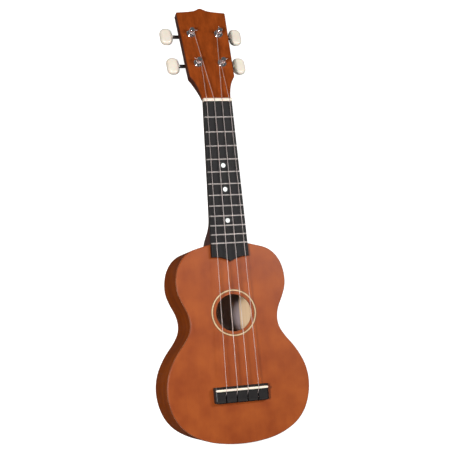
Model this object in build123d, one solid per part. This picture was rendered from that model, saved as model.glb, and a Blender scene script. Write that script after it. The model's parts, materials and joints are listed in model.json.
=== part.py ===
"""Soprano ukulele, lying on its back: +X to the treble side, +Y to the headstock, +Z out of the soundboard."""
from build123d import *
import math
import os

# ---------------------------------------------------------------- driving dimensions (mm)
scale_length = 346.0        # nut to saddle; the 12th fret lies over the neck joint
fret_count = 12
dot_frets = (5, 7, 10)

body_length = 236.5
body_depth = 62.0
lower_bout = 175.8
waist = 108.6
upper_bout = 136.0
lower_bout_y = 66.6         # heights of the three widths above the tail
waist_y = 143.3
upper_bout_y = 190.5
neck_land = 44.0            # flat where the heel meets the ribs
plate_thick = 2.2           # soundboard and back
rib_thick = 2.2
edge_round = 1.3

soundhole_r = 22.1
soundhole_y = 153.4         # centre, above the tail
rosette_r = 26.8            # middle of the inlaid ring
rosette_width = 1.6
rosette_line = 0.5          # dark strips inside and outside the ring
rosette_deep = 0.7

nut_width = 35.7
nut_thick = 4.0
nut_above_board = 2.6
joint_width = 45.5          # fretboard width over the neck joint
fretboard_thick = 5.0
fretboard_overlap = 16.3    # fretboard past the neck joint, at its corners
fretboard_tip = 5.6
fret_width = 1.7
fret_high = 0.9
tang_width = 0.55
tang_deep = 1.6
dot_r = 2.8
dot_deep = 1.2

neck_deep_nut = 12.5
neck_deep_joint = 15.0
heel_reach = 18.0           # along the neck, to where the heel has mostly faded
heel_foot = 14.0            # the heel's curve runs this far below its cut foot

head_angle = 17.5
head_thick = 11.0
head_tip_half = 32.2
head_shoulder_half = 28.8
head_shoulder_t = 33.0      # along the face, from the nut
head_corner_t = 128.4
head_peak = 6.5
carve_below = 3.0           # the neck's rounding runs out under the headstock from this depth
carve_wide = 9.0
carve_long = 36.0
carve_flare = 10.5
post_rows = ((15.45, 51.7), (17.9, 95.5))   # half spacing and place of the lower and upper posts

bridge_length = 66.0
bridge_front = 4.0          # ahead of and behind the saddle's middle
bridge_back = 14.8
bridge_high = 7.6
saddle_length = 64.0
saddle_thick = 2.8
saddle_seat = 3.5
saddle_above_board = 10.6
bridge_slot = 1.3

nut_spacing = 9.6
saddle_spacing = 13.2
string_names = ("g", "c", "e", "a")
string_d = {"g": 0.7, "c": 0.95, "e": 0.85, "a": 0.7}
string_lift = 1.1           # under the string, above the fretboard at the nut
knot_r = 1.35

lining_wide = 5.0
lining_high = 8.0
block_wide = 50.0
neck_block_long = 20.0
tail_block_long = 12.0
brace_wide = 7.0
brace_high = 8.0
patch_thick = 2.0
label_wide = 52.0
label_long = 66.0
label_thick = 0.3
dowel_r = 4.0
dowel_long = 30.0

# machine heads: x across the headstock, y along it, z = 0 on its face
turn_gap = 0.05             # radial running clearance
post_r = 3.0
post_high = 10.6
waist_r = 2.6
bush_r = 4.2
flange_r = 5.8
flange_high = 2.3
tuner_plate = (12.0, 28.0, 1.2)
plate_shift = 4.0           # plate's middle, from the post towards the tip
screw_places = (-7.5, 15.0)
screw_r = 1.2
screw_head_r = 2.2
screw_head_high = 1.3
screw_long = 8.0
gear_teeth = 14
gear_r = 4.2                # pitch radius
gear_wide = 5.0
worm_r = 2.0                # pitch radius
tooth = 0.75                # tooth and thread thickness at the pitch line
addendum = 0.45
gear_root = 3.4
gear_bore = 2.0
worm_root = 1.35
worm_half = 3.6
worm_deep = 5.2             # worm axis below the headstock's back
ear_thick = 1.2
ear_wide = 7.0
inner_journal_r = 1.5
outer_journal_r = 2.55
button_shaft_r = 2.25
button_start = 19.8         # from the post
button_long = 15.6
button_wide = 22.6
button_corner = 6.8
button_thick = 8.0
tang_square = 2.9

# ---------------------------------------------------------------- places worked out
tail_y = -body_length / 2
joint_y = body_length / 2
nut_y = joint_y + scale_length / 2
saddle_y = nut_y - scale_length
top_z = body_depth
board_z = top_z + fretboard_thick
head_y = nut_y + nut_thick
hole_y = tail_y + soundhole_y
head = Plane(origin=(0, head_y, top_z), x_dir=(1, 0, 0),
             z_dir=(0, math.sin(math.radians(head_angle)), math.cos(math.radians(head_angle))))
head_place = head.location
saddle_crest = top_z + saddle_above_board
worm_z = -head_thick - worm_deep
worm_lead = 2 * math.pi * gear_r / gear_teeth
worm_y = gear_r + worm_r
post_end = worm_z - gear_wide / 2
nodes = {}


def box(x0, x1, y0, y1, z0, z1):
    """A box between two corners."""
    return Pos((x0 + x1) / 2, (y0 + y1) / 2, (z0 + z1) / 2) * Box(x1 - x0, y1 - y0, z1 - z0)


def rod(r, z0, z1):
    """A cylinder along Z."""
    return Pos(0, 0, (z0 + z1) / 2) * Cylinder(r, z1 - z0)


def rod_x(r, x0, x1):
    """A cylinder along X."""
    return Pos((x0 + x1) / 2, 0, 0) * Rot(0, 90, 0) * Cylinder(r, x1 - x0)


def turned(*points):
    """A solid turned about Z from (radius, height) points, closed along the axis."""
    profile = make_face(Polyline(*[(r, 0, z) for r, z in points], close=True))
    return revolve(profile, Axis.Z)


def closed_face(lines):
    """A flat face inside a closed chain of lines and arcs."""
    return make_face([edge for line in lines for edge in line.edges()])


# ---------------------------------------------------------------- body outline
def heading(degrees):
    """Unit vector at an angle from +X."""
    return Vector(math.cos(math.radians(degrees)), math.sin(math.radians(degrees)), 0)


def biarc(start, start_dir, end, end_dir):
    """Two tangent arcs that join two points with given headings: (start, direction, end) of each."""
    chord = end - start
    both = start_dir + end_dir
    a = 2 * (1 - start_dir.dot(end_dir))
    along = chord.dot(both)
    d = (math.sqrt(along ** 2 + a * chord.dot(chord)) - along) / a
    middle = (start + start_dir * d + end - end_dir * d) / 2
    middle_dir = ((end - end_dir * d) - (start + start_dir * d)).normalized()
    return [(start, start_dir, middle), (middle, middle_dir, end)]


def half_arcs():
    """The right half of the outline, from the tail to the neck land, as tangent arcs."""
    lower = lower_bout / 2
    upper = upper_bout / 2
    stations = [
        (0, 0, 0),
        (lower - 25.1, 15.6, 33.2),
        (lower, lower_bout_y, 90),
        (waist / 2 + 12.6, waist_y - 26.8, 130.8),
        (waist / 2, waist_y, 90),
        (waist / 2 + 5.6, waist_y + 20.4, 62),
        (upper, upper_bout_y, 90),
        (upper - 9.8, (upper_bout_y + body_length) / 2 + 7.2, 129.3),
        (neck_land / 2, body_length, 166),
    ]
    arcs = []
    for (xa, ya, ha), (xb, yb, hb) in zip(stations, stations[1:]):
        arcs += biarc(Vector(xa, tail_y + ya), heading(ha), Vector(xb, tail_y + yb), heading(hb))
    return arcs


def outline(inset):
    """The body's plan as a face, every arc moved inwards by inset."""
    edges = []
    for start, along, end in half_arcs():
        chord = end - start
        left = Vector(-along.Y, along.X, 0)
        radius = chord.dot(chord) / (2 * chord.dot(left))
        centre = start + left * radius
        middle = centre + ((start - centre) + (end - centre)).normalized() * abs(radius)
        points = []
        for p in (start, middle, end):
            inward = (centre - p).normalized() * math.copysign(1, radius)
            points.append(p + inward * inset)
        if start.X < 1e-6:
            points[0] = Vector(0, points[0].Y, 0)
        edges.append(ThreePointArc(*points))
    edges += [mirror(e, Plane.YZ) for e in edges]
    corner = points[2]
    edges.append(Line((-corner.X, corner.Y), (corner.X, corner.Y)))
    return closed_face(edges)


def slab(inset, z0, z1):
    """The plan, inset, between two heights."""
    return Pos(0, 0, z0) * extrude(outline(inset), z1 - z0)


def right_half(shape):
    return shape & box(0, 400, -400, 400, -100, 200)


def left_half(shape):
    return shape & box(-400, 0, -400, 400, -100, 200)


def rounded_plate(z0, z1, outer_z):
    """A soundboard or back whose outer edge is rounded."""
    plate = slab(0, z0, z1)
    rim = [e for e in plate.edges() if abs(e.center().Z - outer_z) < 0.01]
    rim = [e for e in rim if abs(e.center().Y - joint_y) > 0.5]
    return fillet(rim, edge_round)


# ---------------------------------------------------------------- neck
def half_width(y):
    """Half the width of neck and fretboard at y."""
    share = (nut_y - y) / (nut_y - joint_y)
    return (nut_width + (joint_width - nut_width) * share) / 2


def neck_section(y, deep, fullness):
    """A D-shaped section of the neck, flat on top, as a face at y."""
    half = half_width(y)
    count = 16
    points = []
    for k in range(count + 1):
        turn = math.pi * k / count
        across = math.copysign(abs(math.cos(turn)) ** (2 / fullness), math.cos(turn))
        down = abs(math.sin(turn)) ** (2 / fullness)
        points.append((half * across, y, top_z - deep * down))
    return make_face(Polyline((-half, y, top_z), (half, y, top_z)) + Spline(*points))


def make_neck():
    """Shaft, heel and headstock in one piece of wood."""
    long = head_y - joint_y
    sections = []
    heel_steps = [k * heel_reach / 6 for k in range(13)]
    for s in heel_steps + [heel_reach * 2.6, long]:
        shaft_deep = neck_deep_joint + (neck_deep_nut - neck_deep_joint) * s / long
        heel_share = math.exp(-(s / heel_reach) ** 2.3)
        deep = shaft_deep + (body_depth + heel_foot - shaft_deep) * heel_share
        sections.append(neck_section(joint_y + s, deep, 2.0 + 0.5 * s / long))
    shaft = loft(sections, ruled=True) - box(-200, 200, 0, 600, -200, 0)
    return shaft + make_headstock()


def arcs_through(stations):
    """Tangent arcs through (x, y, heading) stations, as edges."""
    edges = []
    for (xa, ya, ha), (xb, yb, hb) in zip(stations, stations[1:]):
        for start, along, end in biarc(Vector(xa, ya), heading(ha), Vector(xb, yb), heading(hb)):
            edges.append(TangentArc(start, end, tangent=along))
    return edges


def make_headstock():
    """The tilted slab behind the nut, shaped in its own plane."""
    start = half_width(nut_y) + 0.6
    side_heading = math.degrees(math.atan2(head_corner_t - head_shoulder_t, head_tip_half - head_shoulder_half))
    shoulder = (head_shoulder_half, head_shoulder_t + 1.5)
    waist_curve = arcs_through([
        (start, 0, 90),
        (start + 2.4, head_shoulder_t - 17, 76),
        (head_shoulder_half - 2.6, head_shoulder_t - 3.8, 60),
        (*shoulder, side_heading),
    ])
    side = Line(shoulder, (head_tip_half, head_corner_t))
    top_edge = arcs_through([
        (head_tip_half, head_corner_t, 176),
        (9.5, head_corner_t + head_peak * 0.40, 168),
        (4.6, head_corner_t + head_peak * 0.72, 150),
        (0, head_corner_t + head_peak, 180),
    ])
    half = waist_curve + [side] + top_edge
    edges = half + [mirror(e, Plane.YZ) for e in half]
    edges.append(Line((-start, 0), (start, 0)))
    blank = extrude(closed_face(edges), -head_thick)
    corners = [e for e in blank.edges().filter_by(Axis.Z) if abs(e.center().Y - head_corner_t) < 0.01]
    blank = fillet(corners, 1.5)
    for z, size in ((-head_thick, 1.0), (0, 0.7)):
        rim = [e for e in blank.edges() if abs(e.center().Z - z) < 0.01 and e.center().Y > 0.1]
        blank = chamfer(rim, size)
    # beside the nut the slab's lower corners are carved away to meet the round neck
    carve = Plane(origin=(start + 0.05, 0, -carve_below), z_dir=Vector(
        carve_long * (head_thick - carve_below), -(carve_wide + carve_flare) * (head_thick - carve_below),
        -carve_long * carve_wide))
    beyond = carve * Pos(0, 0, 100) * Box(400, 400, 200)
    blank = blank - beyond - mirror(beyond, Plane.YZ)
    return head_place * blank


# ---------------------------------------------------------------- one machine head, button towards -X
def make_gear():
    """Helical wheel; a gap between two teeth faces the worm at mid-width."""
    flank = math.tan(math.radians(20))
    tip_r = gear_r + addendum
    half_root = (tooth / 2 + (gear_r - gear_root) * flank) / gear_root
    half_tip = (tooth / 2 - addendum * flank) / tip_r
    points = []
    for k in range(gear_teeth):
        middle = math.pi / 2 + 2 * math.pi * (k + 0.5) / gear_teeth
        for r, offset in ((gear_root, -half_root), (tip_r, -half_tip), (tip_r, half_tip), (gear_root, half_root)):
            points.append((r * math.cos(middle + offset), r * math.sin(middle + offset)))
    lead_slope = worm_lead / (2 * math.pi * worm_r)
    twist = math.degrees(gear_wide * lead_slope / gear_r)
    section = Rot(0, 0, -twist / 2) * make_face(Polyline(*points, close=True))
    wheel = Solid.extrude_linear_with_rotation(section.face(), (0, 0, 0), (0, 0, gear_wide), twist)
    wheel = Pos(0, 0, post_end) * wheel
    return wheel - rod(gear_bore, post_end - 1, post_end + gear_wide + 1)


def make_worm_shaft():
    """Worm, journals, button shaft and square end on one axis along X."""
    outer_ear = tuner_plate[0] / 2
    inner_face = outer_ear - ear_thick
    flank = math.tan(math.radians(20))
    sunk = 0.15
    wide = tooth / 2 + (worm_r - worm_root + sunk) * flank
    narrow = tooth / 2 - addendum * flank
    low = worm_root - sunk - worm_r
    thread_long = 2 * (worm_half - wide - 0.05)
    profile = Polyline((low, -wide), (addendum, -narrow), (addendum, narrow), (low, wide), close=True)
    at_start = Plane(origin=(worm_r, 0, 0), x_dir=(1, 0, 0), z_dir=(0, -1, 0))
    path = Helix(pitch=worm_lead, height=thread_long, radius=worm_r)
    thread = Pos(0, 0, -thread_long / 2) * sweep(at_start * make_face(profile), path, is_frenet=True)
    # the thread crosses the side that faces the wheel at mid-length
    phase = 270 - 180 * thread_long / worm_lead
    thread = Rot(0, 90, 0) * Rot(0, 0, phase) * thread
    body = rod_x(worm_root, -worm_half, worm_half) + thread
    body += rod_x(worm_root + 0.9, worm_half, inner_face - 0.1)
    body += rod_x(inner_journal_r, inner_face - 0.1, outer_ear + 0.1)
    body += rod_x(inner_journal_r + 0.6, outer_ear + 0.1, outer_ear + 0.9)
    body += rod_x(outer_journal_r, -outer_ear - 0.4, -worm_half)
    body += rod_x(button_shaft_r, -button_start, -outer_ear - 0.4)
    square = tang_square / 2
    body += box(-button_start - 9, -button_start, -square, square, -square, square)
    return Pos(0, worm_y, worm_z) * body


def make_button():
    """Oval knob pressed on the square end."""
    plan = Pos(-button_start - button_long / 2, 0) * RectangleRounded(button_long, button_wide, button_corner)
    knob = Pos(0, 0, -button_thick / 2) * extrude(plan, button_thick)
    rims = [e for e in knob.edges() if abs(abs(e.center().Z) - button_thick / 2) < 0.01]
    knob = fillet(rims, button_thick * 0.42)
    collar = rod_x(3.1, -button_start - 3.5, -button_start)
    square = tang_square / 2
    knob = knob + collar
    knob -= box(-button_start - 9, -button_start + 1, -square, square, -square, square)
    return Pos(0, worm_y, worm_z) * knob


def make_tuner_plate():
    """Base plate with two ears that carry the worm shaft."""
    wide, long, thick = tuner_plate
    back = -head_thick
    base = Pos(0, plate_shift, back - thick / 2) * Box(wide, long, thick)
    base = fillet(base.edges().filter_by(Axis.Z), 2.0)
    ears = None
    for side in (-1, 1):
        x0, x1 = sorted((side * wide / 2, side * (wide / 2 - ear_thick)))
        ear = box(x0, x1, worm_y - ear_wide / 2, worm_y + ear_wide / 2, worm_z - 3.4, back - thick + 0.01)
        low = [e for e in ear.edges().filter_by(Axis.X) if e.center().Z < worm_z]
        ear = fillet(low, ear_wide / 2 - 0.3)
        base += ear
    base -= rod(post_r + turn_gap, back - thick - 1, back + 1)
    base -= Pos(0, worm_y, worm_z) * rod_x(inner_journal_r + turn_gap, 0, wide)
    base -= Pos(0, worm_y, worm_z) * rod_x(outer_journal_r + turn_gap, -wide, 0)
    for y in screw_places:
        base -= Pos(0, y, 0) * rod(screw_r, back - thick - 1, back + 1)
    return base


def make_post():
    """String post, from the gear's seat up through the headstock."""
    collar_top = -head_thick - tuner_plate[2] - 0.1
    gear_top = post_end + gear_wide
    post = turned((0, post_end), (gear_bore, post_end), (gear_bore, gear_top), (post_r + 0.6, gear_top),
                  (post_r + 0.6, collar_top), (post_r, collar_top), (post_r, 3.2), (waist_r, 3.7),
                  (waist_r, 8.3), (post_r, 8.8), (post_r, post_high - 0.5), (post_r - 0.5, post_high),
                  (0, post_high))
    post -= Pos(0, 0, 7.4) * rod_x(0.75, -5, 5)
    return post - rod(1.0, post_end - 1, post_end + 3.6)


def make_gear_screw():
    """Screw that holds the gear on the post."""
    screw = rod(1.0, post_end, post_end + 3.5) + turned(
        (0, post_end), (2.7, post_end), (2.7, post_end - 0.9), (2.1, post_end - 1.5), (0, post_end - 1.5))
    return screw - box(-3, 3, -0.3, 0.3, post_end - 2, post_end - 0.8)


def make_bushing():
    """Pressed-in sleeve with a domed flange on the face."""
    bore = post_r + turn_gap
    return turned((bore, -head_thick), (bush_r, -head_thick), (bush_r, 0), (flange_r, 0), (flange_r, 0.6),
                  (flange_r - 0.35, 1.5), (flange_r - 1.0, flange_high - 0.2), (bore + 0.35, flange_high),
                  (bore, flange_high - 0.35))


def make_winding(string_name, tail_angle):
    """Outer shape of the string's turns, and its cut end beyond the hole in the post."""
    d = string_d[string_name]
    turns = turned((waist_r, 3.8), (waist_r + d, 3.8), (waist_r + d, 3.8 + 3 * d), (waist_r, 3.8 + 3 * d))
    tail = Pos(0, 0, 7.4) * rod_x(d / 2, waist_r + 0.1, waist_r + 4.2)
    return [turns, Rot(0, 0, tail_angle) * tail]


def make_screw():
    """Small cross-slot wood screw, head below the plate."""
    under = -head_thick - tuner_plate[2]
    shank = rod(screw_r, under, -head_thick + screw_long)
    dome = turned((0, under), (screw_head_r, under), (screw_head_r, under - 0.5),
                  (screw_head_r * 0.62, under - screw_head_high), (0, under - screw_head_high))
    cross = box(-1.2, 1.2, -0.22, 0.22, under - 2, under - 0.7)
    cross += box(-0.22, 0.22, -1.2, 1.2, under - 2, under - 0.7)
    return shank + dome - cross


# ---------------------------------------------------------------- fretboard, nut, bridge
def fret_y(number):
    return saddle_y + scale_length * 2 ** (-number / 12)


def make_fretboard():
    """Tapered board; its free end swings down to a point over the soundboard."""
    end_y = joint_y - fretboard_overlap
    wide = half_width(end_y)
    flat = wide - 4.5
    tip = (0, end_y - fretboard_tip)
    radius = (flat ** 2 + fretboard_tip ** 2) / (2 * fretboard_tip)
    half_turn = math.asin(flat / radius) / 2
    middle = (flat - radius * math.sin(half_turn), end_y - radius * (1 - math.cos(half_turn)))
    half = [
        Line((nut_width / 2, nut_y), (wide, end_y)),
        Line((wide, end_y), (flat, end_y)),
        ThreePointArc((flat, end_y), middle, tip),
    ]
    edges = half + [mirror(e, Plane.YZ) for e in half]
    edges.append(Line((-nut_width / 2, nut_y), (nut_width / 2, nut_y)))
    board = extrude(closed_face(edges), fretboard_thick)
    top_rim = [e for e in board.edges() if abs(e.center().Z - fretboard_thick) < 0.01 and e.center().Y < nut_y - 1]
    board = Pos(0, 0, top_z) * chamfer(top_rim, 0.4)
    for n in range(1, fret_count + 1):
        y = fret_y(n)
        board -= box(-40, 40, y - tang_width / 2, y + tang_width / 2, board_z - tang_deep, board_z + 1)
    for dot in make_dots():
        board -= dot
    return board


def make_fret(number):
    """Round-topped wire with a tang, its ends bevelled."""
    y = fret_y(number)
    half = half_width(y)
    bulge = ThreePointArc((-fret_width / 2, 0), (0, fret_high), (fret_width / 2, 0))
    crown = make_face(bulge + Line((-fret_width / 2, 0), (fret_width / 2, 0)))
    crown = extrude(Plane.YZ * crown, half, both=True)
    for side in (-1, 1):
        bevel = Pos(side * (half - 0.15), 0, 0) * Rot(0, side * -35, 0) * Pos(side * 5, 0, 0) * Box(10, 10, 10)
        crown -= bevel
    tang = box(-half, half, -tang_width / 2, tang_width / 2, -tang_deep, 0.05)
    return Pos(0, y, board_z) * (crown + tang)


def make_dots():
    dots = []
    for n in dot_frets:
        y = (fret_y(n) + fret_y(n - 1)) / 2
        dots.append(Pos(0, y, 0) * rod(dot_r, board_z - dot_deep, board_z))
    return dots


def string_xs(spacing):
    return {name: (k - 1.5) * spacing for k, name in enumerate(string_names)}


def string_at_nut(name):
    return Vector(string_xs(nut_spacing)[name], nut_y + 0.4, board_z + string_lift + string_d[name] / 2)


def string_at_saddle(name):
    return Vector(string_xs(saddle_spacing)[name], saddle_y, saddle_crest + string_d[name] / 2)


def string_at_knot(name):
    return Vector(string_xs(saddle_spacing)[name], saddle_y - bridge_back + 4.2, top_z + 3.0)


def make_nut():
    high = fretboard_thick + nut_above_board
    half = nut_width / 2
    profile = Polyline((nut_y, top_z), (nut_y, top_z + high), (nut_y + 1.6, top_z + high),
                       (nut_y + nut_thick, top_z + high - 1.6), (nut_y + nut_thick, top_z), close=True)
    nut = extrude(Plane.YZ * make_face(profile), half, both=True)
    nut = fillet([e for e in nut.edges().filter_by(Axis.X) if e.center().Z > top_z + 1], 0.5)
    for name in string_names:
        at = string_at_nut(name)
        r = string_d[name] / 2 + 0.06
        nut -= box(at.X - r, at.X + r, nut_y - 1, nut_y + nut_thick + 1, at.Z, at.Z + 6)
        nut -= Pos(at.X, at.Y, at.Z) * Rot(90, 0, 0) * Cylinder(r, 12)
        nut -= box(at.X - r, at.X + r, nut_y + 1.2, nut_y + nut_thick + 1, at.Z - 1.4, at.Z + 1)
    return nut


def make_bridge():
    """Slotted block: saddle near its front edge, one string slot and knot seat for each string."""
    half = bridge_length / 2
    block = box(-half, half, saddle_y - bridge_back, saddle_y + bridge_front, top_z, top_z + bridge_high)
    back_y = saddle_y - bridge_back
    corners = [e for e in block.edges().filter_by(Axis.Z) if abs(e.center().Y - back_y) < 0.01]
    block = fillet(corners, 2.6)
    top = top_z + bridge_high
    back = [e for e in block.edges() if abs(e.center().Z - top) < 0.01 and e.center().Y < back_y + 4]
    block = chamfer(back, 1.6)
    rest = [e for e in block.edges() if abs(e.center().Z - top) < 0.01 and e.center().Y > back_y + 4]
    block = chamfer(rest, 0.6)
    block -= make_saddle_blank(0.0)
    for name in string_names:
        at = string_at_knot(name)
        block -= box(at.X - bridge_slot / 2, at.X + bridge_slot / 2, back_y - 1, saddle_y - 4.6, top_z + 2.0, top + 1)
        block -= Pos(at.X, back_y + 2.0, at.Z) * Rot(90, 0, 0) * Cylinder(knot_r + 0.15, 7)
    return block


def make_saddle_blank(raise_top):
    """The saddle's blade: round ends, round crest when raise_top is set."""
    half = saddle_length / 2 - saddle_thick / 2
    plan = Polyline((-half, -saddle_thick / 2), (half, -saddle_thick / 2)) + ThreePointArc(
        (half, -saddle_thick / 2), (half + saddle_thick / 2, 0), (half, saddle_thick / 2))
    plan += Polyline((half, saddle_thick / 2), (-half, saddle_thick / 2)) + ThreePointArc(
        (-half, saddle_thick / 2), (-half - saddle_thick / 2, 0), (-half, -saddle_thick / 2))
    low = top_z + bridge_high - saddle_seat
    return Pos(0, saddle_y, low) * extrude(make_face(plan), saddle_crest - low + raise_top)


def make_saddle():
    blade = make_saddle_blank(0.0)
    crest = [e for e in blade.edges() if abs(e.center().Z - saddle_crest) < 0.01]
    return fillet(crest, saddle_thick * 0.42)


# ---------------------------------------------------------------- strings and machine heads in place
tuners = {
    "g": {"row": 0, "side": -1, "tail": 150},
    "c": {"row": 1, "side": -1, "tail": 0},
    "e": {"row": 1, "side": 1, "tail": 90},
    "a": {"row": 0, "side": 1, "tail": 20},
}


def post_place(name):
    half_spacing, along = post_rows[tuners[name]["row"]]
    return Pos(tuners[name]["side"] * half_spacing, along, 0)


def make_string(name):
    """One string from its knot in the bridge, over saddle and nut, to just short of its post's turns."""
    d = string_d[name]
    half_spacing, along = post_rows[tuners[name]["row"]]
    side = tuners[name]["side"]
    inner = side * (half_spacing - waist_r - d / 2)
    short = math.sqrt((waist_r + d + 0.3) ** 2 - waist_r ** 2) + 0.2
    local = Vector(inner, along, 3.8 + 0.5 * d)
    post_side = (head_place * Pos(*local)).position
    nut_point = string_at_nut(name) + Vector(0, 0, 0.05)
    end = post_side - (post_side - nut_point).normalized() * short
    knot = string_at_knot(name)
    saddle_point = string_at_saddle(name) + Vector(0, 0, 0.1)
    path = FilletPolyline(knot, saddle_point, nut_point, end, radius=[3.0, 8.0])
    section = Plane(origin=path @ 0, z_dir=path % 0) * Circle(d / 2)
    string = sweep(section, path)
    expected = math.pi * d ** 2 / 4 * path.length
    print(name, "string", round(path.length, 1), "mm long, volume over expected", round(string.volume / expected, 4))
    return string + Pos(*knot) * Sphere(knot_r)


def place_tuner(name, shape):
    """Put one piece of a machine head at its post, mirrored on the treble side."""
    if tuners[name]["side"] > 0:
        shape = mirror(shape, Plane.YZ)
    return head_place * post_place(name) * shape


def build():
    inner_low = plate_thick
    inner_high = body_depth - plate_thick
    dowels = [Pos(0, joint_y - 1.0, z) * Rot(90, 0, 0) * Cylinder(dowel_r, dowel_long) for z in (22, 42)]
    dowel_cut = dowels[0] + dowels[1]

    ring_out = rosette_r + rosette_width / 2
    ring_in = rosette_r - rosette_width / 2
    ring = rod(ring_out, top_z - rosette_deep, top_z) - rod(ring_in, top_z - 5, top_z + 5)
    ring = Pos(0, hole_y, 0) * ring
    lines = []
    for inner, outer in ((ring_in - rosette_line, ring_in), (ring_out, ring_out + rosette_line)):
        line = rod(outer, top_z - rosette_deep, top_z) - rod(inner, top_z - 5, top_z + 5)
        lines.append(Pos(0, hole_y, 0) * line)
    soundboard = rounded_plate(inner_high, body_depth, body_depth)
    soundboard -= Pos(0, hole_y, 0) * rod(soundhole_r, 0, 100)
    nodes["soundboard"] = soundboard - ring - lines[0] - lines[1]
    nodes["rosette_ring"] = ring
    nodes["rosette_lines"] = lines
    nodes["back"] = rounded_plate(0, inner_low, 0)

    ribs = slab(0, inner_low, inner_high) - slab(rib_thick, 0, body_depth)
    nodes["side_bass"] = left_half(ribs) - dowel_cut
    nodes["side_treble"] = right_half(ribs) - dowel_cut
    inside = slab(rib_thick, inner_low, inner_high)
    neck_end = joint_y - rib_thick
    block_half = block_wide / 2
    neck_block = inside & box(-block_half, block_half, neck_end - neck_block_long, joint_y + 5, 0, 100)
    nodes["neck_block"] = neck_block - dowel_cut
    tail_end = tail_y + rib_thick
    tail_block = inside & box(-block_half, block_half, tail_y - 5, tail_end + tail_block_long, 0, 100)
    nodes["tail_block"] = tail_block
    for label, z0, z1 in (("top_linings", inner_high - lining_high, inner_high),
                          ("back_linings", inner_low, inner_low + lining_high)):
        strip = slab(rib_thick, z0, z1) - slab(rib_thick + lining_wide, 0, 100)
        strip -= box(-block_half, block_half, -400, 400, 0, 100)
        nodes[label] = strip

    clear = rib_thick + lining_wide

    def brace(y, low):
        bar = slab(clear, low, low + brace_high)
        return bar & box(-200, 200, y - brace_wide / 2, y + brace_wide / 2, 0, 100)

    nodes["top_brace_upper"] = brace(hole_y + soundhole_r + 14, inner_high - brace_high)
    nodes["top_brace_lower"] = brace(hole_y - soundhole_r - 9, inner_high - brace_high)
    nodes["back_braces"] = brace(hole_y + 43, inner_low) + brace(saddle_y + 12, inner_low)
    label_y = hole_y + 2
    nodes["paper_label"] = box(-label_wide / 2, label_wide / 2, label_y - label_long / 2, label_y + label_long / 2,
                               inner_low, inner_low + label_thick)
    patch_y = saddle_y - 5
    patch_low = max(patch_y - 15, tail_end + tail_block_long)
    patch = slab(clear, inner_high - patch_thick, inner_high)
    nodes["bridge_patch"] = patch & box(-42, 42, patch_low, patch_y + 15, 0, 100)

    neck = make_neck() - dowel_cut
    for name in string_names:
        neck -= head_place * post_place(name) * rod(bush_r, -head_thick - 1, 1)
        for y in screw_places:
            neck -= head_place * post_place(name) * Pos(0, y, 0) * rod(screw_r, -head_thick - 1, -head_thick + screw_long)
    nodes["neck"] = neck
    nodes["neck_dowels"] = dowels
    nodes["fretboard"] = make_fretboard()
    nodes["frets"] = [make_fret(n) for n in range(1, fret_count + 1)]
    nodes["position_dots"] = make_dots()
    nodes["nut"] = make_nut()
    nodes["bridge"] = make_bridge()
    nodes["saddle"] = make_saddle()
    for name in string_names:
        string = make_string(name)
        nodes["string_" + name] = string
        for seat in ("nut", "bridge", "saddle"):
            nodes[seat] -= string

    pieces = {
        "plate": make_tuner_plate(),
        "bushing": make_bushing(),
        "worm_shaft": make_worm_shaft(),
        "button": make_button(),
        "post": make_post(),
        "gear": make_gear(),
        "gear_screw": make_gear_screw(),
    }
    screws = []
    for name in string_names:
        for label, shape in pieces.items():
            nodes[f"tuner_{name}_{label}"] = place_tuner(name, shape)
        # each post stands where its string's end comes out of the hole at the angle it was tuned to
        tail_angle = tuners[name]["tail"]
        nodes[f"tuner_{name}_post"] = head_place * post_place(name) * Rot(0, 0, tail_angle) * pieces["post"]
        turns, tail = make_winding(name, 0)
        nodes[f"tuner_{name}_winding"] = [head_place * post_place(name) * Rot(0, 0, tail_angle) * s for s in (turns, tail)]
        for y in screw_places:
            screws.append(place_tuner(name, Pos(0, y, 0) * make_screw()))
    nodes["tuner_screws"] = screws


build()
os.makedirs("parts", exist_ok=True)
for node, shape in nodes.items():
    solids = shape if isinstance(shape, list) else [shape]
    whole = Compound(children=[s for part in solids for s in part.solids()])
    export_step(whole, f"parts/{node}.step")
    print(f"{node}: {len(whole.solids())} solid(s), {whole.volume:.0f} mm3")
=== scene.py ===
# %% [markdown]
# # A soprano ukulele, finished in Blender
# The ukulele lies on its back: +X is its treble side, +Y points to the headstock and +Z comes out of the
# soundboard. Its wooden and metal parts come ready from the CAD model, as named objects that stay where they
# are. This lesson gives them their finishes and adds what a CAD solid can't show: the strings as they really
# run, their turns on the posts, and the knots behind the bridge.

# %% Load the model
import json
import math
import bpy
from mathutils import Matrix, Vector


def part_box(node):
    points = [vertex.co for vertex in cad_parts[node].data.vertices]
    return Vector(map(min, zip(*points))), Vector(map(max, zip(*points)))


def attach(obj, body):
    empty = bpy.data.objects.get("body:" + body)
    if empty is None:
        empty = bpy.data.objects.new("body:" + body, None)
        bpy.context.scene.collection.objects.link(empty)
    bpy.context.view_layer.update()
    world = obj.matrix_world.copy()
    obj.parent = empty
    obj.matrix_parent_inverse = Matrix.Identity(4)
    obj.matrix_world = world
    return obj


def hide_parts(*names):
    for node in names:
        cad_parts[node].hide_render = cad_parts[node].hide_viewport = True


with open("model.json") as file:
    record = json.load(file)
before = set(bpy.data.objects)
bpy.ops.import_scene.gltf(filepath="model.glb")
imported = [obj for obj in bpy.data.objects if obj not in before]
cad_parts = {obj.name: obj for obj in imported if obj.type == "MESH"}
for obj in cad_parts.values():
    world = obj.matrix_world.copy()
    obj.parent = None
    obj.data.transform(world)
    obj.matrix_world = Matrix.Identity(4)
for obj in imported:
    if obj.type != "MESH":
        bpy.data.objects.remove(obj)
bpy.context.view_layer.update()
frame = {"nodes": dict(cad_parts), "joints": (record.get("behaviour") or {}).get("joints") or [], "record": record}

mm = 0.001
parts = frame["nodes"]

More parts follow.
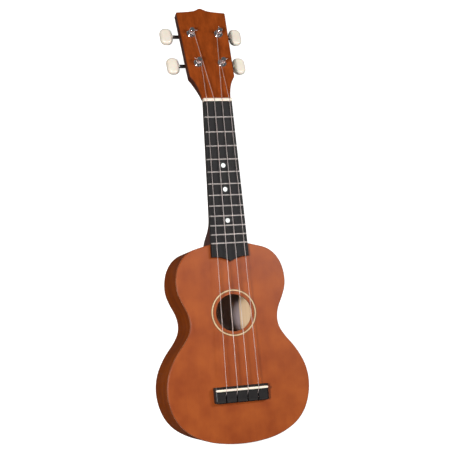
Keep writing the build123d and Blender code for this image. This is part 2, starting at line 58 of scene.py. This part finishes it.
# %% [markdown]
# ## Camera
# A product picture of an instrument is taken from far off with a long lens, so its outline isn't stretched.
# Here the camera stands a little to the bass side of the body, over a metre above it, and looks down. The
# simplest way to aim a camera is a Track To constraint, but a matrix made from the direction of view and the
# direction that is up in the picture gives the tilt of the neck exactly.

# %% Camera
camera_place = Vector((-0.3651, -0.0010, 1.2256))
view_direction = Vector((0.2957, 0.1153, -0.9483)).normalized()
picture_up = Vector((0.0428, 0.9901, 0.1337))
picture_right = view_direction.cross(picture_up).normalized()
picture_up = picture_right.cross(view_direction)

camera_data = bpy.data.cameras.new("camera")
camera_data.lens = 81.79
camera_data.sensor_width = 36.0
camera_data.clip_start = 0.01
camera = bpy.data.objects.new("camera", camera_data)
bpy.context.scene.collection.objects.link(camera)
turn = Matrix((picture_right, picture_up, -view_direction)).transposed()
camera.matrix_world = Matrix.Translation(camera_place) @ turn.to_4x4()
bpy.context.scene.camera = camera
bpy.context.scene.view_settings.view_transform = "Standard"
print("camera", [round(v, 3) for v in camera_place], "lens", camera_data.lens)


# %% [markdown]
# ## Colours and nodes
# Colours are written as the sRGB hex values that a colour picker shows, while a shader works with linear
# light, so one function turns the first into the second. Every shader tree below is built with one more
# function, which adds a node, sets it and links it.

# %% Colour and node helpers
def colour(hex_value):
    """Linear RGBA of an sRGB hex colour such as "8A4A26"."""
    channels = [int(hex_value[i:i + 2], 16) / 255 for i in (0, 2, 4)]
    straight = [c / 12.92 if c <= 0.04045 else ((c + 0.055) / 1.055) ** 2.4 for c in channels]
    return (*straight, 1.0)


def add(tree, kind, inputs=None, **settings):
    """Add a node; inputs maps a socket's name or number to a value or to another node's output."""
    node = tree.nodes.new(kind)
    for name, value in settings.items():
        setattr(node, name, value)
    for key, value in (inputs or {}).items():
        if isinstance(value, bpy.types.NodeSocket):
            tree.links.new(value, node.inputs[key])
        else:
            node.inputs[key].default_value = value
    return node


def start_material(name, **shader):
    """A new material, its node tree and its Principled shader, with the shader's constants set."""
    material = bpy.data.materials.new(name)
    material.use_nodes = True
    tree = material.node_tree
    principled = tree.nodes["Principled BSDF"]
    for key, value in shader.items():
        principled.inputs[key.replace("_", " ")].default_value = value
    return material, tree, principled


# %% [markdown]
# ## Floor and light
# The instrument is shown cut out on plain white. A white floor would do it, but it would also throw white
# light back into the sides, which are dark here. So the paper on the floor is a pale grey that glows white
# only for the eye of the camera, and the sky does the same: both stay dim in every reflection.

# %% Floor
floor_mesh = bpy.data.meshes.new("floor")
reach = 6.0
floor_gap = 0.4 * mm        # keeps the paper clear of the back's lowest face
floor_mesh.from_pydata([(-reach, -reach, 0), (reach, -reach, 0), (reach, reach, 0), (-reach, reach, 0)],
                       [], [(0, 1, 2, 3)])
floor = bpy.data.objects.new("floor", floor_mesh)
bpy.context.scene.collection.objects.link(floor)
paper, tree, principled = start_material("seamless studio paper", Roughness=0.9)
fibres = add(tree, "ShaderNodeTexNoise", {"Scale": 400.0, "Detail": 3.0})
tint = add(tree, "ShaderNodeMix", {0: fibres.outputs["Fac"], 6: colour("8E8C8A"), 7: colour("999795")},
           data_type="RGBA")
tree.links.new(tint.outputs[2], principled.inputs["Base Color"])
principled.inputs["Emission Color"].default_value = (1, 1, 1, 1)
ray = add(tree, "ShaderNodeLightPath")
tree.links.new(ray.outputs["Is Camera Ray"], principled.inputs["Emission Strength"])
floor_mesh.materials.append(paper)
floor.location.z = -floor_gap
print("floor", 2 * reach, "m wide,", floor_gap / mm, "mm below the back")

# %% Sky
world = bpy.data.worlds.new("studio")
world.use_nodes = True
bpy.context.scene.world = world
sky = world.node_tree
ray = add(sky, "ShaderNodeLightPath")
brightness = add(sky, "ShaderNodeMapRange", {"Value": ray.outputs["Is Camera Ray"], "To Min": 0.12,
                                             "To Max": 1.0})
sky.nodes["Background"].inputs["Color"].default_value = (1, 1, 1, 1)
sky.links.new(brightness.outputs[0], sky.nodes["Background"].inputs["Strength"])
print("sky strength in reflections", round(brightness.inputs["To Min"].default_value, 2))

# %% [markdown]
# Two soft boxes light the wood from the bass side and the treble side. They are small, so the posts and the
# strings throw thin shadows, and the bass one shines through the soundhole onto the back. A weaker box near
# the headstock end lays a broad sheen on the satin finish. The white card at the tail end is only there to be
# reflected in chrome and lacquer: its diffuse light is switched off.

# %% Soft boxes
aim = Vector((0.0, 0.10, 0.05))
soft_boxes = {
    "soft box, bass side": ((-0.64, 0.07, 0.94), (0.11, 0.15), 12.5),
    "soft box, treble side": ((0.62, 0.34, 0.88), (0.13, 0.18), 5.0),
    "soft box, headstock end": ((0.34, 0.46, 1.08), (0.5, 0.3), 2.8),
    "white card, tail end": ((0.0, -1.10, 0.60), (2.2, 0.5), 9.0),
}
for name, (place, size, watts) in soft_boxes.items():
    light = bpy.data.lights.new(name, "AREA")
    light.shape = "RECTANGLE"
    light.size, light.size_y = size
    light.energy = watts
    lamp = bpy.data.objects.new(name, light)
    bpy.context.scene.collection.objects.link(lamp)
    lamp.location = place
    lamp.rotation_euler = (aim - Vector(place)).to_track_quat("-Z", "Y").to_euler()
    lamp.visible_diffuse = "card" not in name
print(len(soft_boxes), "soft boxes")


# %% [markdown]
# ## Wood
# The body is thin laminated wood stained to a warm reddish brown, then sprayed with satin lacquer. Such wood
# shows three things: broad soft clouds where the stain took differently, faint streaks along the grain, and
# short dark pores. One noise texture would give only one of them, so three are laid over each other, each
# stretched along the grain by its own mapping, with its real size in millimetres.

# %% Stained wood
def patch_scale(across, along, thick):
    """The scale that makes one patch of a noise this many millimetres long in X, Y and Z."""
    return [1 / (size * mm) for size in (across, along, thick)]


def stained_wood(name, pale, deep, pore, grain, roughness, cloud=(24.0, 60.0), streak=0.16, pores=0.5,
                 shine=0.3):
    """grain puts the (across, along) sizes of a texture on the three axes."""
    material, tree, principled = start_material(name, Roughness=roughness, IOR=1.5, Specular_IOR_Level=shine)
    place = add(tree, "ShaderNodeTexCoord").outputs["Object"]
    cloud_place = add(tree, "ShaderNodeMapping", {"Vector": place, "Scale": patch_scale(*grain(*cloud))})
    clouds = add(tree, "ShaderNodeTexNoise", {"Vector": cloud_place.outputs[0], "Scale": 1.0, "Detail": 2.5})
    cloudy = add(tree, "ShaderNodeMapRange", {
        "Value": clouds.outputs["Fac"], "From Min": 0.3, "From Max": 0.7})
    stain = add(tree, "ShaderNodeMix", {0: cloudy.outputs[0], 6: colour(deep), 7: colour(pale)},
                data_type="RGBA")
    # growth streaks, about 1.6 mm across and 70 mm long
    streak_place = add(tree, "ShaderNodeMapping", {"Vector": place, "Scale": patch_scale(*grain(1.6, 70.0))})
    streaks = add(tree, "ShaderNodeTexNoise", {
        "Vector": streak_place.outputs[0], "Scale": 1.0, "Detail": 3.0})
    streaky = add(tree, "ShaderNodeMapRange", {
        "Value": streaks.outputs["Fac"], "From Min": 0.35, "From Max": 0.7, "To Min": 0.0, "To Max": streak})
    streaked = add(tree, "ShaderNodeMix", {0: streaky.outputs[0], 6: stain.outputs[2], 7: colour(pore)},
                   data_type="RGBA")
    # open pores, drawn 0.5 mm wide and 9 mm long, twice their real width so that they show
    pore_place = add(tree, "ShaderNodeMapping", {"Vector": place, "Scale": patch_scale(*grain(0.5, 9.0))})
    holes = add(tree, "ShaderNodeTexNoise", {"Vector": pore_place.outputs[0], "Scale": 1.0, "Detail": 1.0})
    pored = add(tree, "ShaderNodeMapRange", {
        "Value": holes.outputs["Fac"], "From Min": 0.6, "From Max": 0.72, "To Min": 0.0, "To Max": pores})
    wood = add(tree, "ShaderNodeMix", {0: pored.outputs[0], 6: streaked.outputs[2], 7: colour(pore)},
               data_type="RGBA")
    tree.links.new(wood.outputs[2], principled.inputs["Base Color"])
    uneven = add(tree, "ShaderNodeMapRange", {
        "Value": clouds.outputs["Fac"], "To Min": roughness - 0.06, "To Max": roughness + 0.06})
    tree.links.new(uneven.outputs[0], principled.inputs["Roughness"])
    relief = add(tree, "ShaderNodeBump", {"Strength": 0.12, "Distance": 0.03 * mm,
                                          "Height": pored.outputs[0]}, invert=True)
    tree.links.new(relief.outputs[0], principled.inputs["Normal"])
    return material, tree, principled, wood


def lengthwise(across, along):
    """Grain along the instrument."""
    return across, along, across


def around(across, along):
    """Grain along the bent sides."""
    return along, along, across


# %% [markdown]
# Inside, no stain was put on: the same sheets show their raw pale wood. A plate's inner face and outer face
# belong to one object, so the finish asks how high a point is, and switches to raw wood on the inner side.

# %% Raw wood on the inner faces
def raw_inside(tree, principled, stained, is_inside):
    """Mix raw veneer over the stained colour where is_inside is 1."""
    place = add(tree, "ShaderNodeTexCoord").outputs["Object"]
    line_place = add(tree, "ShaderNodeMapping", {"Vector": place, "Scale": patch_scale(3.2, 160.0, 3.2)})
    lines = add(tree, "ShaderNodeTexNoise", {"Vector": line_place.outputs[0], "Scale": 1.0, "Detail": 3.0})
    veneer = add(tree, "ShaderNodeMix", {0: lines.outputs["Fac"], 6: colour("D8B184"), 7: colour("F6DFBE")},
                 data_type="RGBA")
    both = add(tree, "ShaderNodeMix", {0: is_inside, 6: stained.outputs[2], 7: veneer.outputs[2]},
               data_type="RGBA")
    tree.links.new(both.outputs[2], principled.inputs["Base Color"])


def inner_by_height(tree, low, high):
    """1 above high, 0 below low, in metres; the other way round if low is the larger."""
    place = add(tree, "ShaderNodeTexCoord").outputs["Object"]
    split = add(tree, "ShaderNodeSeparateXYZ", {0: place})
    return add(tree, "ShaderNodeMapRange", {"Value": split.outputs["Z"], "From Min": low, "From Max": high})


# %% Soundboard, back and sides
top_material, tree, principled, wood = stained_wood(
    "satin lacquered mahogany veneer, soundboard", "954610", "82370B", "522206", lengthwise, 0.42,
    cloud=(22.0, 26.0), streak=0.05, pores=0.1)
board_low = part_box("soundboard")[0].z
under_board = inner_by_height(tree, board_low + 0.4 * mm, board_low + 0.1 * mm)
raw_inside(tree, principled, wood, under_board.outputs[0])

back_material, tree, principled, wood = stained_wood(
    "satin lacquered mahogany veneer, back", "A04E1E", "843A12", "4C2008", lengthwise, 0.45,
    cloud=(26.0, 45.0), streak=0.16, pores=0.3)
back_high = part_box("back")[1].z
over_back = inner_by_height(tree, back_high - 0.4 * mm, back_high - 0.1 * mm)
raw_inside(tree, principled, wood, over_back.outputs[0])

side_material, tree, principled, wood = stained_wood(
    "satin lacquered mahogany veneer, sides", "843C0A", "6C2C05", "381602", around, 0.6,
    cloud=(14.0, 50.0), streak=0.2, pores=0.25, shine=0.02)
# a side's inner face looks towards the middle of the body: its normal points against its own place
coordinates = add(tree, "ShaderNodeTexCoord")
outward = add(tree, "ShaderNodeVectorMath", {0: coordinates.outputs["Object"], 1: (1.0, 0.5, 0.0)},
              operation="MULTIPLY")
facing = add(tree, "ShaderNodeVectorMath", {0: outward.outputs[0], 1: coordinates.outputs["Normal"]},
             operation="DOT_PRODUCT")
inner_face = add(tree, "ShaderNodeMath", {0: facing.outputs["Value"], 1: 0.0}, operation="LESS_THAN")
raw_inside(tree, principled, wood, inner_face.outputs[0])

neck_material, tree, principled, wood = stained_wood(
    "satin lacquered mahogany, neck", "904113", "74310A", "451B06", lengthwise, 0.45,
    cloud=(9.0, 40.0), streak=0.22, pores=0.25, shine=0.1)
# surfaces turned away from the headstock's face get a darker brown: only what faces forward keeps the pale tone
coordinates = add(tree, "ShaderNodeTexCoord")
forward = add(tree, "ShaderNodeVectorMath", {0: coordinates.outputs["Normal"], 1: (0.0, 0.3, 0.954)},
              operation="DOT_PRODUCT")
pale_part = add(tree, "ShaderNodeMapRange", {"Value": forward.outputs["Value"], "From Min": 0.3,
                                             "From Max": 0.85})
darker_off_face = add(tree, "ShaderNodeMix", {0: pale_part.outputs[0], 6: colour("3C1606"), 7: wood.outputs[2]},
              data_type="RGBA")
tree.links.new(darker_off_face.outputs[2], principled.inputs["Base Color"])

inner_material, tree, principled, wood = stained_wood(
    "bare spruce", "DDBE8E", "C29B66", "8F6838", lengthwise, 0.75, cloud=(12.0, 80.0), streak=0.3, pores=0.1)
dowel_material, tree, principled, wood = stained_wood(
    "bare beech", "D9B88C", "C09A6C", "8A6238", lengthwise, 0.7, cloud=(6.0, 30.0), streak=0.2, pores=0.3)
print("wood finishes:", len([m for m in bpy.data.materials if "mahogany" in m.name or "bare" in m.name]))

# %% [markdown]
# ## Fretboard and bridge
# Both are hardwood stained nearly black and rubbed with oil. The stain leaves the grain as faint lighter
# streaks, and the surface has a low grey sheen rather than a gloss.

# %% Blackened hardwood
board_material, tree, principled, wood = stained_wood(
    "blackened hardwood, oiled, fretboard", "171516", "0F0D0E", "060505", lengthwise, 0.55,
    cloud=(3.0, 60.0), streak=0.3, pores=0.5, shine=0.22)
bridge_material, tree, principled, wood = stained_wood(
    "blackened hardwood, oiled, bridge", "1C1818", "120F0F", "080606",
    lambda across, along: (along, across, across), 0.42, cloud=(3.0, 40.0), streak=0.3, pores=0.5)
print("made", board_material.name, "and", bridge_material.name)

# %% [markdown]
# ## Plastics
# The nut and saddle are moulded in ivory-white plastic, the tuning buttons in a creamier one, and the ring
# round the soundhole is a strip of cream celluloid. Moulded plastic is never quite even: faint clouds in the
# colour, and a shallow waviness that only the highlights show.

# %% Moulded plastics
def moulded_plastic(name, light, dark, roughness, cloud, wave=0.04, glow=0.0):
    """cloud is the size of the uneven colour and wave the depth of the surface's waves, in millimetres."""
    material, tree, principled = start_material(name, Roughness=roughness, IOR=1.49, Subsurface_Weight=glow,
                                                Subsurface_Scale=1.5 * mm)
    place = add(tree, "ShaderNodeTexCoord").outputs["Object"]
    clouds = add(tree, "ShaderNodeTexNoise", {"Vector": place, "Scale": 1 / (cloud * mm), "Detail": 4.0})
    tint = add(tree, "ShaderNodeMix", {0: clouds.outputs["Fac"], 6: colour(dark), 7: colour(light)},
               data_type="RGBA")
    tree.links.new(tint.outputs[2], principled.inputs["Base Color"])
    waves = add(tree, "ShaderNodeTexNoise", {"Vector": place, "Scale": 1 / (1.8 * mm), "Detail": 1.0})
    relief = add(tree, "ShaderNodeBump", {"Strength": 0.3, "Distance": wave * mm,
                                          "Height": waves.outputs["Fac"]})
    tree.links.new(relief.outputs[0], principled.inputs["Normal"])
    return material


white_material = moulded_plastic("ivory-white moulded plastic", "EADFCF", "DFD2BF", 0.28, 7.0, glow=0.1)
cream_material = moulded_plastic("cream moulded plastic", "E2D9CC", "D6CBBA", 0.24, 6.0, glow=0.1)
ring_material = moulded_plastic("cream celluloid strip", "CDB189", "BD9D72", 0.38, 5.0)
line_material = moulded_plastic("black fibre strip", "2A1710", "1C0E09", 0.5, 3.0)
print("made", ", ".join(m.name for m in (white_material, cream_material, ring_material, line_material)))

# %% [markdown]
# A blank paper label is glued inside the back, under the soundhole. Paper is a felt of fibres about 2 mm
# long: a fine stretched noise for the fibres, a little broad yellowing, and hardly any gloss.

# %% Paper label
label_material, tree, principled = start_material(
    "uncoated label paper", Roughness=0.9, Specular_IOR_Level=0.2)
place = add(tree, "ShaderNodeTexCoord").outputs["Object"]
fibre_place = add(tree, "ShaderNodeMapping", {"Vector": place, "Scale": patch_scale(0.4, 2.0, 0.4)})
fibres = add(tree, "ShaderNodeTexNoise", {"Vector": fibre_place.outputs[0], "Scale": 1.0, "Detail": 3.0})
aged = add(tree, "ShaderNodeTexNoise", {"Vector": place, "Scale": 1 / (18.0 * mm), "Detail": 2.0})
felt = add(tree, "ShaderNodeMix", {0: fibres.outputs["Fac"], 6: colour("AA989E"), 7: colour("BDAEB4")},
           data_type="RGBA")
tint = add(tree, "ShaderNodeMix", {0: aged.outputs["Fac"], 6: felt.outputs[2], 7: colour("A3938F")},
           data_type="RGBA")
tree.links.new(tint.outputs[2], principled.inputs["Base Color"])
print("made", label_material.name)

# %% [markdown]
# The position dots are cut from pearl sheet: pale, with soft bands from white to grey where the layers of the
# sheet come to the surface. A distorted wave between two faintly green greys gives the bands, and a coat
# gives the polish.

# %% Pearl
pearl_material, tree, principled = start_material("pearl sheet", Roughness=0.3, IOR=1.55, Coat_Weight=0.6,
                                                  Coat_Roughness=0.12)
place = add(tree, "ShaderNodeTexCoord").outputs["Object"]
bands = add(tree, "ShaderNodeTexWave", {"Vector": place, "Scale": 1 / (3.0 * mm), "Distortion": 6.0,
                                        "Detail": 2.0}, bands_direction="DIAGONAL")
layers = add(tree, "ShaderNodeMix", {0: bands.outputs["Fac"], 6: colour("B4B8B6"), 7: colour("E9EBE8")},
             data_type="RGBA")
tree.links.new(layers.outputs[2], principled.inputs["Base Color"])
print("made", pearl_material.name)


# %% [markdown]
# ## Metal
# Frets are nickel silver, drawn through a die and then polished along their crown, so they are a warm grey
# with fine lines along their length. The machine heads are steel with bright chrome plating; their worm
# shafts are steel given a painted shade, a dark colour that stands in for the shadow and dark reflections
# they show, and the gears are cut from brass, which stays bare and shows the cutter's marks.

# %% Metals
def metal(name, light, dark, roughness, scratch, strength=0.25):
    """scratch is the size of the polishing marks along X, Y and Z, in millimetres."""
    material, tree, principled = start_material(name, Metallic=1.0, Roughness=roughness)
    place = add(tree, "ShaderNodeTexCoord").outputs["Object"]
    mark_place = add(tree, "ShaderNodeMapping", {"Vector": place, "Scale": patch_scale(*scratch)})
    marks = add(tree, "ShaderNodeTexNoise", {"Vector": mark_place.outputs[0], "Scale": 1.0, "Detail": 3.0})
    tint = add(tree, "ShaderNodeMix", {0: marks.outputs["Fac"], 6: colour(dark), 7: colour(light)},
               data_type="RGBA")
    tree.links.new(tint.outputs[2], principled.inputs["Base Color"])
    worn = add(tree, "ShaderNodeMapRange", {"Value": marks.outputs["Fac"], "To Min": roughness * 0.6,
                                            "To Max": roughness * 1.5})
    tree.links.new(worn.outputs[0], principled.inputs["Roughness"])
    relief = add(tree, "ShaderNodeBump", {"Strength": strength, "Distance": 0.01 * mm,
                                          "Height": marks.outputs["Fac"]})
    tree.links.new(relief.outputs[0], principled.inputs["Normal"])
    return material


# painted shade: the worm shafts' steel is coloured dark for their shadow and dark reflections
shaded_steel_material = metal("steel, dark with painted shade", "6A605C", "4E4643", 0.3, (2.0, 0.4, 0.4))
fret_material = metal("polished nickel silver", "C9C0BC", "B0A7A3", 0.3, (8.0, 0.15, 0.15))
chrome_material = metal("bright chrome plate", "E4E5E8", "CFD1D6", 0.07, (3.0, 3.0, 3.0), 0.08)
brass_material = metal("machined brass", "D9BC6E", "B8963F", 0.28, (0.3, 0.3, 2.0))
print("made", ", ".join(m.name for m in (shaded_steel_material, fret_material, chrome_material, brass_material)))

# %% [markdown]
# ## Nylon
# Ukulele strings are clear nylon: light goes into them, takes on the colour of what lies behind, and comes
# out softened. Full transmission would make them vanish at this size, so a fifth of the light stays with a
# milky white body.

# %% Strings' nylon
nylon_material, tree, principled = start_material(
    "clear nylon monofilament", Roughness=0.3, IOR=1.53, Transmission_Weight=0.8)
place = add(tree, "ShaderNodeTexCoord").outputs["Object"]
milk_place = add(tree, "ShaderNodeMapping", {"Vector": place, "Scale": patch_scale(4.0, 30.0, 4.0)})
milk = add(tree, "ShaderNodeTexNoise", {"Vector": milk_place.outputs[0], "Scale": 1.0, "Detail": 2.0})
tint = add(tree, "ShaderNodeMix", {0: milk.outputs["Fac"], 6: colour("E3CFCA"), 7: colour("F4E8E4")},
           data_type="RGBA")
tree.links.new(tint.outputs[2], principled.inputs["Base Color"])
print("made", nylon_material.name)

# %% [markdown]
# ## Finishes on the CAD parts
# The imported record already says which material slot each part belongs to. Going through that list puts every
# finish on its parts. Only the soundboard, back, sides and worm shafts need one of their own, because they
# look different from the other parts of their slot.

# %% Put the finishes on
by_slot = {
    "neck_mahogany": neck_material, "inner_wood": inner_material, "dowel_beech": dowel_material,
    "fretboard_blackwood": board_material, "bridge_blackwood": bridge_material, "ring_cream": ring_material,
    "bone_white": white_material, "fret_silver": fret_material, "pearl_dot": pearl_material,
    "nylon_string": nylon_material, "button_cream": cream_material, "gear_brass": brass_material,
    "tuner_chrome": chrome_material, "line_black": line_material, "label_paper": label_material,
}
by_node = {"soundboard": top_material, "back": back_material, "side_bass": side_material,
           "side_treble": side_material}
# the worm shafts get the steel with painted shade
by_node.update({f"tuner_{name}_worm_shaft": shaded_steel_material for name in "gcea"})
for entry in frame["record"]["subparts"]:
    node = entry["node"]
    finish = by_node.get(node) or by_slot[entry["material_slot"]]
    for place_for_material in parts[node].material_slots:
        place_for_material.material = finish

# %% [markdown]
# ## Strings
# A string runs dead straight between the points that carry it, and bends only where it crosses the saddle
# and the nut. A curve with a round bevel is the natural tool: its points are the carrying points, with a
# small arc put in at each bend, and its bevel depth is half the string's real diameter. Nylon sets for this
# size are 0.70, 0.95, 0.85 and 0.70 mm thick.

# %% Where the strings run
string_sizes = {"g": 0.70, "c": 0.95, "e": 0.85, "a": 0.70}
tail_angles = {"g": 150, "c": 0, "e": 90, "a": 20}      # degrees, the way each cut end points
saddle_low, saddle_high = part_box("saddle")
nut_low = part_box("nut")[0]
board_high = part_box("fretboard")[1].z
plate_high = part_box("soundboard")[1].z
saddle_y = (saddle_low.y + saddle_high.y) / 2
spacing_at_nut, spacing_at_saddle = 9.6 * mm, 13.2 * mm
knot_behind, knot_high = 10.6 * mm, 3.0 * mm            # from the saddle, and over the soundboard
over_board = 1.15 * mm      # a string's lowest point at the nut, over the fretboard
bends = (3 * mm, 8 * mm)    # radii over the saddle and over the nut
knot_size = 0.36 * mm
joints = {joint["name"]: joint for joint in frame["joints"]}
post_waist = 2.6 * mm       # the post's radius where the string winds on it
first_turn_high = 3.8 * mm  # over the headstock's face
post_hole_high = 7.4 * mm


def post_frame(name):
    """The post's foot on the headstock's face, and the directions across, along and out of that face."""
    joint = joints[f"tuner_{name}_post_turn"]
    out = Vector(joint["axis"]).normalized()
    return Vector(joint["pos_m"]), Vector((1, 0, 0)), out.cross(Vector((1, 0, 0))), out


def carried_path(name):
    """Knot, saddle, nut and the side of the post, in metres."""
    column = list(string_sizes).index(name) - 1.5       # counted from the middle of the four
    d = string_sizes[name] * mm
    foot, across, _, out = post_frame(name)
    inner = -math.copysign(1, foot.x)
    knot = Vector((column * spacing_at_saddle, saddle_y - knot_behind, plate_high + knot_high))
    # the two bends are rounded off later, so their corners lie slightly over the saddle and behind the nut
    over_saddle = Vector((column * spacing_at_saddle, saddle_y, saddle_high.z + d / 2 + 0.1 * mm))
    over_nut = Vector((column * spacing_at_nut, nut_low.y + 0.4 * mm, board_high + over_board + d / 2))
    at_post = foot + across * inner * (post_waist + d / 2) + out * (first_turn_high + d / 2)
    return [knot, over_saddle, over_nut, at_post]


print("saddle at y", round(saddle_y / mm, 2), "mm, nut at y", round(nut_low.y / mm, 2), "mm")


# %% Curves with round bevels
def rounded(points, radii, steps=8):
    """The polyline with an arc of the given radius put in at each inner corner."""
    path = [points[0]]
    for before, corner, after, radius in zip(points, points[1:], points[2:], radii):
        to_before = (before - corner).normalized()
        to_after = (after - corner).normalized()
        half = to_before.angle(to_after) / 2
        cut = radius / math.tan(half)
        centre = corner + (to_before + to_after).normalized() * radius / math.sin(half)
        start = (corner + to_before * cut - centre).normalized()
        end = (corner + to_after * cut - centre).normalized()
        for k in range(steps + 1):
            path.append(centre + start.slerp(end, k / steps) * radius)
    return path + [points[-1]]


def round_wire(name, paths, thickness, finish):
    """A curve object with one round-bevelled run for each path."""
    data = bpy.data.curves.new(name, "CURVE")
    data.dimensions = "3D"
    data.bevel_depth = thickness / 2
    data.bevel_resolution = 3
    data.use_fill_caps = True
    for path in paths:
        run = data.splines.new("POLY")
        run.points.add(len(path) - 1)
        for point, place in zip(run.points, path):
            point.co = (*place, 1)
    data.materials.append(finish)
    wire = bpy.data.objects.new(name, data)
    bpy.context.scene.collection.objects.link(wire)
    return wire


# %% [markdown]
# Each string is held by an overhand knot that can't pass through its slot in the bridge. An overhand knot is
# a trefoil, and the trefoil has a well-known formula in sines and cosines. Pulled tight it is about three
# strings wide.

# %% Strings and their knots
def overhand_knot(centre, size, pieces=60):
    """A tightened trefoil round centre, drawn with this many straight pieces."""
    path = []
    for k in range(pieces + 1):
        a = 2 * math.pi * k / pieces
        path.append(centre + size * Vector((math.sin(a) + 2 * math.sin(2 * a),
                                            -1.3 * math.sin(3 * a),
                                            math.cos(a) - 2 * math.cos(2 * a))))
    return path


for name, thick in string_sizes.items():
    route = carried_path(name)
    knot = overhand_knot(route[0], knot_size)
    cut_end = [route[0], route[0] + Vector((0.5, -1.8, -0.3)) * mm, route[0] + Vector((1.0, -3.2, -1.2)) * mm]
    runs = [rounded(route, bends), knot, cut_end]
    string = round_wire(f"string_{name}_nylon", runs, thick * mm, nylon_material)
    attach(string, "root")
    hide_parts(f"string_{name}")
    print("string", name, round(sum((b - a).length for a, b in zip(route, route[1:])) / mm), "mm")

# %% [markdown]
# At the headstock the string winds round its post, each turn above the last, then climbs to the hole, goes
# through it and is cut off a few millimetres beyond. The strings come in between the posts, so those on the
# bass side wind one way and those on the treble side the other. A helix gives the turns, and they ride on the
# post, because they turn with it.

# %% Turns on the posts
def turns_on_post(name):
    """The winding's path, from where the string touches the post to its cut end."""
    foot, across, along, out = post_frame(name)
    d = string_sizes[name] * mm
    radius = post_waist + d / 2
    way = 1 if foot.x < 0 else -1
    start = 0.0 if foot.x < 0 else 180.0
    hole_entry = tail_angles[name] + 180.0
    sweep = (way * (hole_entry - start)) % 360 + 2 * 360
    last_climb = 150.0          # degrees of the last turn in which the string climbs to the hole
    count = int(sweep / 12)
    path = []
    for k in range(count + 1):
        turned = sweep * k / count
        climb = max(0.0, (turned - (sweep - last_climb)) / last_climb)
        climb = climb * climb * (3 - 2 * climb)
        level = first_turn_high + d / 2 + 1.02 * d * turned / 360
        level += (post_hole_high - level) * climb
        path.append((radius, math.radians(start + way * turned), level))
    # through the hole and out at the other side
    tail = math.radians(tail_angles[name])
    path += [(1.2 * mm, tail + math.pi, post_hole_high), (2.0 * mm, tail, post_hole_high),
             (4.5 * mm, tail, post_hole_high + 0.1 * mm), (6.7 * mm, tail, post_hole_high + 0.5 * mm)]
    return [foot + r * math.cos(a) * across + r * math.sin(a) * along + h * out for r, a, h in path]


for name, thick in string_sizes.items():
    turns = round_wire(f"tuner_{name}_turns", [turns_on_post(name)], thick * mm, nylon_material)
    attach(turns, f"tuner_{name}_post")
    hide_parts(f"tuner_{name}_winding")
print(len(string_sizes), "windings")
